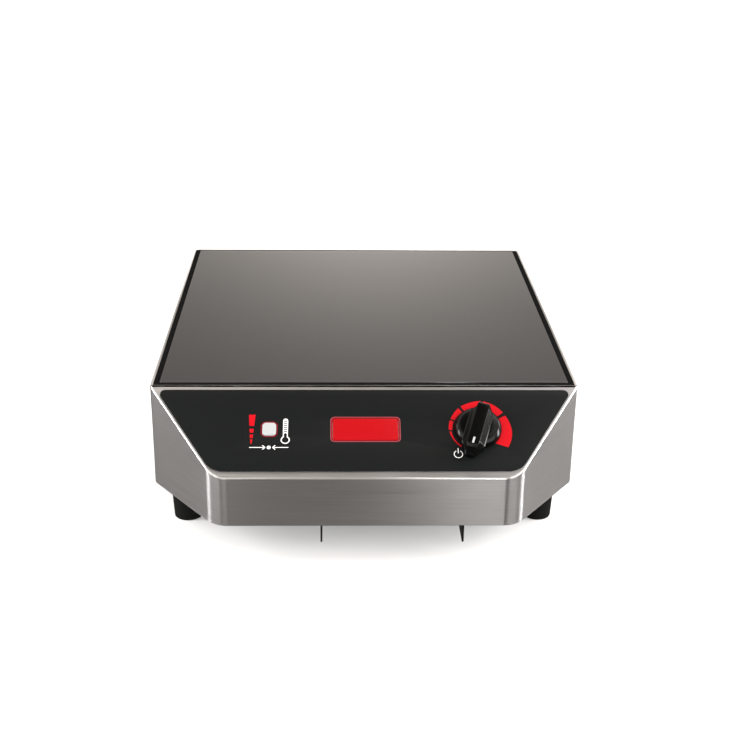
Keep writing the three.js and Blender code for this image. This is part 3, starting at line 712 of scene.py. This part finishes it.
def make_icons():
    """The power bars, the thermometer and the pair of arrows round the mode button."""
    bars_x = -92.7
    # Top and bottom of each bar, down the fascia, and its width at each, in millimetres.
    bars = [
        (29.7, 40.6, 5.3, 3.9),
        (43.5, 47.2, 3.3, 3.0),
        (49.1, 52.5, 2.6, 2.3),
        (53.8, 57.9, 1.7, 0.8),
    ]
    for i, bar in enumerate(bars):
        printed(f"power_bar_{i + 1}", trapezoid(bars_x, *bar), "ink_red")

    x, stem_top, column_top, bulb_down = -65.2, 33.5, 47.6, 54.3
    outer = thermometer(x, stem_top, bulb_down, 2.0, 3.7)
    column = thermometer(x, column_top, bulb_down, 1.25, 2.85)
    tick = [(1.4, 0.5), (-1.4, 0.5), (-1.4, -0.5), (1.4, -0.5)]
    first_tick, tick_pitch = 36.6, 1.9
    ticks_y = [-(first_tick + tick_pitch * i) for i in range(6)]
    slots = [[Vector((x + px, y + py)) * MM for px, py in tick] for y in ticks_y]
    printed("thermometer", outer, "ink_white", [column, *slots])

    down, middle = 61.5, -78.3
    printed("arrow_dot", circle(1.6 * MM, (middle * MM, -down * MM), 24), "ink_white")
    half = 0.3  # of the arrows' shafts
    for side, name in ((-1, "arrow_left"), (1, "arrow_right")):
        shape = [(15.8, half), (3.8, half), (5.4, 1.7), (4.8, 2.2), (2.7, 0)]
        shape += [(px, -py) for px, py in shape[-2::-1]]
        points = [Vector((middle + side * px, -down + py)) * MM for px, py in shape]
        printed(name, points if side < 0 else points[::-1], "ink_white")


def thermometer(x, stem_top, bulb_down, half, radius):
    """A thermometer's outline: a round-topped stem on a round bulb."""
    top_centre = Vector((x, -(stem_top + half)))
    centre = Vector((x, -bulb_down))
    angles = [math.pi * i / 10 for i in range(11)]
    points = [top_centre + half * Vector((math.cos(a), math.sin(a))) for a in angles]
    join = math.asin(half / radius)
    start = math.pi / 2 + join
    sweep = TURN - 2 * join
    for i in range(33):
        angle = start + sweep * i / 32
        points.append(centre + radius * Vector((math.cos(angle), math.sin(angle))))
    return [p * MM for p in points]


def clock(angle, radius, centre):
    """A point at a clock angle in degrees, clockwise from 12, round a centre on the fascia."""
    a = math.radians(angle)
    return Vector((centre[0] + radius * math.sin(a), centre[1] + radius * math.cos(a)))


def make_dial():
    """Red segments that widen clockwise round the knob, and the standby symbol at their start."""
    centre = KNOB_LOCAL.xy
    # First and last clock angle, inner radius, outer radius at each end, lean of the last edge.
    segments = [
        (216, 264, 21.9, 22.6, 23.6, 0),
        (268, 291, 21.0, 23.9, 24.2, 0),
        (295, 324, 20.6, 24.2, 25.6, 0),
        (330, 368, 20.2, 26.0, 28.3, 0),
        (372, 413, 19.8, 28.1, 27.0, 0),
        (420, 496, 19.3, 26.8, 29.4, 9),
    ]
    for i, (first, last, inner_radius, radius, last_radius, lean) in enumerate(segments):
        steps = round((last - first) / 3)
        inner, outer = [], []
        for k in range(steps + 1):
            t = k / steps
            angle = first + (last - first) * t
            inner.append(clock(angle, inner_radius * MM, centre))
            reach = radius + (last_radius - radius) * t**1.6
            outer.append(clock(angle - lean * t, reach * MM, centre))
        printed(f"dial_segment_{i + 1}", inner + outer[::-1], "ink_red")

    symbol = Vector((74.6, -68.0)) * MM
    angles = [27 + 306 * k / 40 for k in range(41)]
    outer = [clock(a, 3.7 * MM, symbol) for a in angles]
    inner = [clock(a, 3.1 * MM, symbol) for a in reversed(angles)]
    printed("standby_ring", (outer + inner)[::-1], "ink_white")
    bar = [Vector(p) * MM + symbol for p in ((0.35, 5.7), (-0.35, 5.7), (-0.35, 0.8), (0.35, 0.8))]
    printed("standby_bar", bar, "ink_white")


# ---- Knob ----

def knob_place():
    """The knob's own frame: Z out of the fascia, and the nose towards -Y."""
    turn = Matrix.Rotation(KNOB_REST, 4, "Z")
    return FASCIA @ Matrix.Translation((KNOB_LOCAL.x, KNOB_LOCAL.y, OVERLAY_TOP + 0.5 * MM)) @ turn


def grip_bar():
    """The bar across the knob, with a step low on its flanks."""
    top = KNOB_HEIGHT / MM
    # Distance along the bar, half width below and above the step, and height.
    sections = [
        (-29.4, 3.0, 2.4, 4.0),
        (-28.0, 4.2, 3.4, 8.6),
        (-26.0, 5.4, 4.1, 12.0),
        (-23.4, 7.0, 4.6, top),
        (-20.0, 9.8, 4.8, top),
        (-10.0, 9.8, 4.8, top),
        (12.5, 9.6, 4.8, top),
        (16.4, 6.0, 4.8, top),
        (18.0, 5.4, 4.6, 12.4),
        (18.8, 4.8, 4.0, 6.0),
    ]
    bm = bmesh.new()
    rings = []
    for along, below, above, height in sections:
        step = above + 0.84 * (below - above)
        low = min(7.9, 0.7 * height)
        side = [(below, 0.4), (below, low - 0.5), (step, low), (above, height)]
        ring = side + [(-x, z) for x, z in reversed(side)]
        rings.append([bm.verts.new(Vector((x, along, z)) * MM) for x, z in ring])
    for a, b in zip(rings, rings[1:]):
        for i in range(8):
            j = (i + 1) % 8
            bm.faces.new((a[i], a[j], b[j], b[i]))
    bm.faces.new(rings[0][::-1])
    bm.faces.new(rings[-1])
    bmesh.ops.recalc_face_normals(bm, faces=bm.faces)
    edges = [e for e in bm.edges if e.calc_face_angle(0) > math.radians(14)]
    bmesh.ops.bevel(
        bm, geom=edges, offset=1 * MM, segments=4, profile=0.5, affect="EDGES", clamp_overlap=True,
    )
    return temporary(bm)


def knob_base(count=120):
    """The round foot of the knob, drawn out into a nose towards -Y that fades with height."""
    base_radius, nose_reach, nose_half_angle = 19.3, 10.3, 0.25
    # Share of the base radius, share of the nose, and height.
    levels = [
        (0.985, 1.0, 0.0), (0.997, 1.0, 0.3), (1.0, 1.0, 0.8), (0.997, 0.96, 2.0), (0.98, 0.85, 3.2),
        (0.955, 0.6, 4.1), (0.92, 0.3, 4.9), (0.88, 0.1, 5.6), (0.83, 0, 6.2), (0.76, 0, 6.7),
        (0.60, 0, 7.1), (0.35, 0, 7.35),
    ]
    bm = bmesh.new()
    rings = []
    for round_part, nose_part, height in levels:
        ring = []
        for i in range(count):
            angle = TURN * i / count
            off_nose = min(angle, TURN - angle)
            nose = nose_reach * math.exp(-((off_nose / nose_half_angle) ** 3)) * nose_part
            radius = base_radius * round_part + nose
            spot = Vector((-radius * math.sin(angle), -radius * math.cos(angle), height))
            ring.append(bm.verts.new(spot * MM))
        rings.append(ring)
    for low, high in zip(rings, rings[1:]):
        for i in range(count):
            j = (i + 1) % count
            bm.faces.new((low[i], low[j], high[j], high[i]))
    top = bm.verts.new(Vector((0, 0, 7.45)) * MM)
    for i in range(count):
        bm.faces.new((rings[-1][i], rings[-1][(i + 1) % count], top))
    bm.faces.new(rings[0])
    bmesh.ops.recalc_face_normals(bm, faces=bm.faces)
    return temporary(bm)


def make_knob():
    body = combine(knob_base(), [grip_bar()], "UNION")
    well = prism(circle(10.5 * MM, count=40), -1 * MM, 4.5 * MM)
    low, high = KNOB_HEIGHT - 0.4 * MM, KNOB_HEIGHT + 2 * MM
    mark_slot = block((-0.95 * MM, -23.2 * MM, low), (0.95 * MM, -17.2 * MM, high))
    combine(body, [well, mark_slot])
    mesh = take_mesh(body, "knob_moulding", sharp=38)
    mesh.transform(knob_place())
    add_piece("knob_moulding", mesh, "knob_black", "knob", "knob_black", ["control_knob"])
    outline = rounded_rectangle(1.7 * MM, 5.8 * MM, 0.3 * MM, (0, -20.2 * MM))
    mark = plate("knob_mark", outline, 0.5 * MM, bevel=0.05 * MM, place=knob_place(), base=low)
    add_piece("knob_mark", mark, "button_white", "knob", "button_white", ["knob_pointer"])


# ---- Feet and underside ----

def make_feet():
    for i in range(1, 5):
        low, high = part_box(f"foot_{i}")
        place = Matrix.Translation(((low.x + high.x) / 2, (low.y + high.y) / 2, 0))
        top = high.z / MM
        bore, recess, recess_depth = 2.4, 6.5, 7.0
        profile = [(recess, 0.0), *arc_profile((11.2, 1.2), 1.2, -90, 5, 5), (14.2, top - 3)]
        profile += [(15.0, top - 2.4), (15.0, top), (bore, top)]
        profile += [(bore, recess_depth), (recess, recess_depth), (recess, 0.0)]
        mesh = lathe(f"rubber_foot_{i}", [(r * MM, z * MM) for r, z in profile], 56, place)
        add_piece(f"rubber_foot_{i}", mesh, "foot_rubber", slot="foot_rubber", replaces=[f"foot_{i}"])


# ---- Rear face ----

def facing_back(x, y, z):
    """A frame whose Z points out of the hob's rear face."""
    return Matrix.Translation((x, y, z)) @ Matrix.Rotation(-math.pi / 2, 4, "X")


def as_solid(mesh):
    """Lends a finished mesh to the cutting steps as a temporary solid."""
    made = bpy.data.objects.new("temporary", mesh)
    bpy.context.scene.collection.objects.link(made)
    return made


def make_rear():
    low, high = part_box("rear_panel")
    middle = (low.z + high.z) / 2
    outline = rounded_rectangle(high.x - low.x, high.z - low.z, 3 * MM)
    slot_y = middle - (BODY_Z + 46 * MM)
    slots = [
        rounded_rectangle(4 * MM, 36 * MM, 1.95 * MM, ((62 - 9 * i) * -MM, slot_y), math.radians(22))
        for i in range(22)
    ]
    entry = Vector((GLAND_X, middle - (BODY_Z + GLAND_UP)))
    screws = [Vector((side * REAR_SCREW_X, middle - (BODY_Z + REAR_SCREW_UP))) for side in (-1, 1)]
    holes = [*slots, circle(8.3 * MM, entry), *[circle(1.8 * MM, p, 20) for p in screws]]
    place = facing_back(0, low.y, middle)
    panel = plate("rear_plate", outline, high.y - low.y, holes, place=place)
    add_piece("rear_plate", panel, "housing_steel", slot="housing_steel", replaces=["rear_panel"])

    head = [
        (1.4, -8), (1.4, -0.01), (3.2, 0), (3.2, 0.6), (3.0, 1.2), (2.4, 1.75), (1.5, 2.1), (0, 2.2),
    ]
    for side, name in ((-1, "left"), (1, "right")):
        screw = as_solid(lathe("temporary", [(0, -8 * MM), *[(r * MM, z * MM) for r, z in head]], 40))
        arms = ((0.35, 1.6), (1.6, 0.35))
        cross = [block((-a * MM, -b * MM, 1.0 * MM), (a * MM, b * MM, 4 * MM)) for a, b in arms]
        mesh = take_mesh(combine(screw, cross), f"rear_screw_{name}_head")
        mesh.transform(facing_back(side * REAR_SCREW_X, high.y + GAP, BODY_Z + REAR_SCREW_UP))
        node = f"rear_screw_{name}"
        add_piece(f"rear_pan_screw_{name}", mesh, "zinc_steel", slot="zinc_steel", replaces=[node])
    make_gland(high.y)


def make_gland(panel_back):
    """A hexagon collar, a ribbed dome nut and an open bore for the cord."""
    half_flats = 11
    corner = half_flats / math.cos(math.pi / 6)
    hexagon = rounded(circle(corner * MM, count=6), [1.2 * MM] * 6, math.radians(15))
    body = prism(hexagon, 0, 5 * MM)
    dome = [(0, 4), (9.6, 4), (9.6, 9), (9.4, 10.4), (8.9, 11.8), (8.2, 13), (7.5, 14), (0, 14)]
    thread = [(0, -9.7), (7.4, -9.7), (8, -9.1), (8, 0.3), (0, 0.3)]
    profiles = [[(r * MM, z * MM) for r, z in profile] for profile in (dome, thread)]
    combine(body, [as_solid(lathe("temporary", profile, 48)) for profile in profiles], "UNION")
    low, high = (9.0 * MM, -0.5 * MM, 5.6 * MM), (11 * MM, 0.5 * MM, 10 * MM)
    grooves = [block(low, high, Matrix.Rotation(TURN * i / 16, 4, "Z")) for i in range(16)]
    combine(body, [prism(circle(4.5 * MM), -12 * MM, 16 * MM), *grooves])
    mesh = take_mesh(body, "gland_body", sharp=28)
    mesh.transform(facing_back(GLAND_X, panel_back, BODY_Z + GLAND_UP))
    add_piece("gland_body", mesh, "plastic_black", slot="plastic_black", replaces=["cable_gland"])


# ---- Air filter ----

def make_filter():
    """A moulded frame with rounded corners and a finger pull, round an expanded-metal sheet."""
    low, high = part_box("filter_frame")
    mesh_low, mesh_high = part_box("filter_mesh")
    pull_depth = 2.9 * MM
    front = low.y + pull_depth
    middle = Vector(((low.x + high.x) / 2, (front + high.y) / 2))
    outline = rounded_rectangle(high.x - low.x, high.y - front, 3 * MM, middle)
    opening = rounded_rectangle(
        mesh_high.x - mesh_low.x + 2 * GAP, mesh_high.y - mesh_low.y + 2 * GAP, 0.6 * MM, middle,
    )
    ring = plate("temporary", outline, high.z - low.z, [opening], bevel=0.5 * MM, base=low.z)
    pull_half = 15 * MM
    pull = block(
        (middle.x - pull_half, low.y, low.z + 2 * MM),
        (middle.x + pull_half, front + 1 * MM, low.z + 8 * MM),
    )
    frame_solid = combine(as_solid(ring), [pull], "UNION")
    shell = take_mesh(frame_solid, "filter_surround")
    add_piece("filter_surround", shell, "plastic_grey", "filter", "plastic_grey", ["filter_frame"])

    size = mesh_high - mesh_low
    columns, rows = 11, 13
    pitch_x, pitch_y = (size.x - 5 * MM) / columns, (size.y - 5 * MM) / rows
    holes = []
    for row in range(2 * rows - 1):
        shifted = row % 2
        for column in range(columns - shifted):
            x = middle.x + (column - (columns - 1 - shifted) / 2) * pitch_x
            y = middle.y + (row - rows + 1) * pitch_y / 2
            a, b = 0.38 * pitch_x, 0.38 * pitch_y
            holes.append([Vector(p) for p in ((x + a, y), (x, y + b), (x - a, y), (x, y - b))])
    outline = rounded_rectangle(size.x, size.y, 0.5 * MM, middle)
    sheet = plate("filter_sheet", outline, size.z, holes, base=mesh_low.z)
    add_piece("filter_sheet", sheet, "aluminium_bare", "filter", "aluminium_bare", ["filter_mesh"])


# ---- Carried-over CAD nodes ----

def dress_frame():
    """Every CAD node that stays in view gets its slot's finish."""
    for row in frame["record"]["subparts"]:
        node = frame["nodes"][row["node"]]
        node.data.materials.clear()
        node.data.materials.append(FINISHES[row["material_slot"]])


make_camera()
make_finishes()
make_stage()
dress_frame()
make_housing()
make_glass()
make_overlay()
make_display()
make_button()
make_icons()
make_dial()
make_knob()
make_feet()
make_rear()
make_filter()
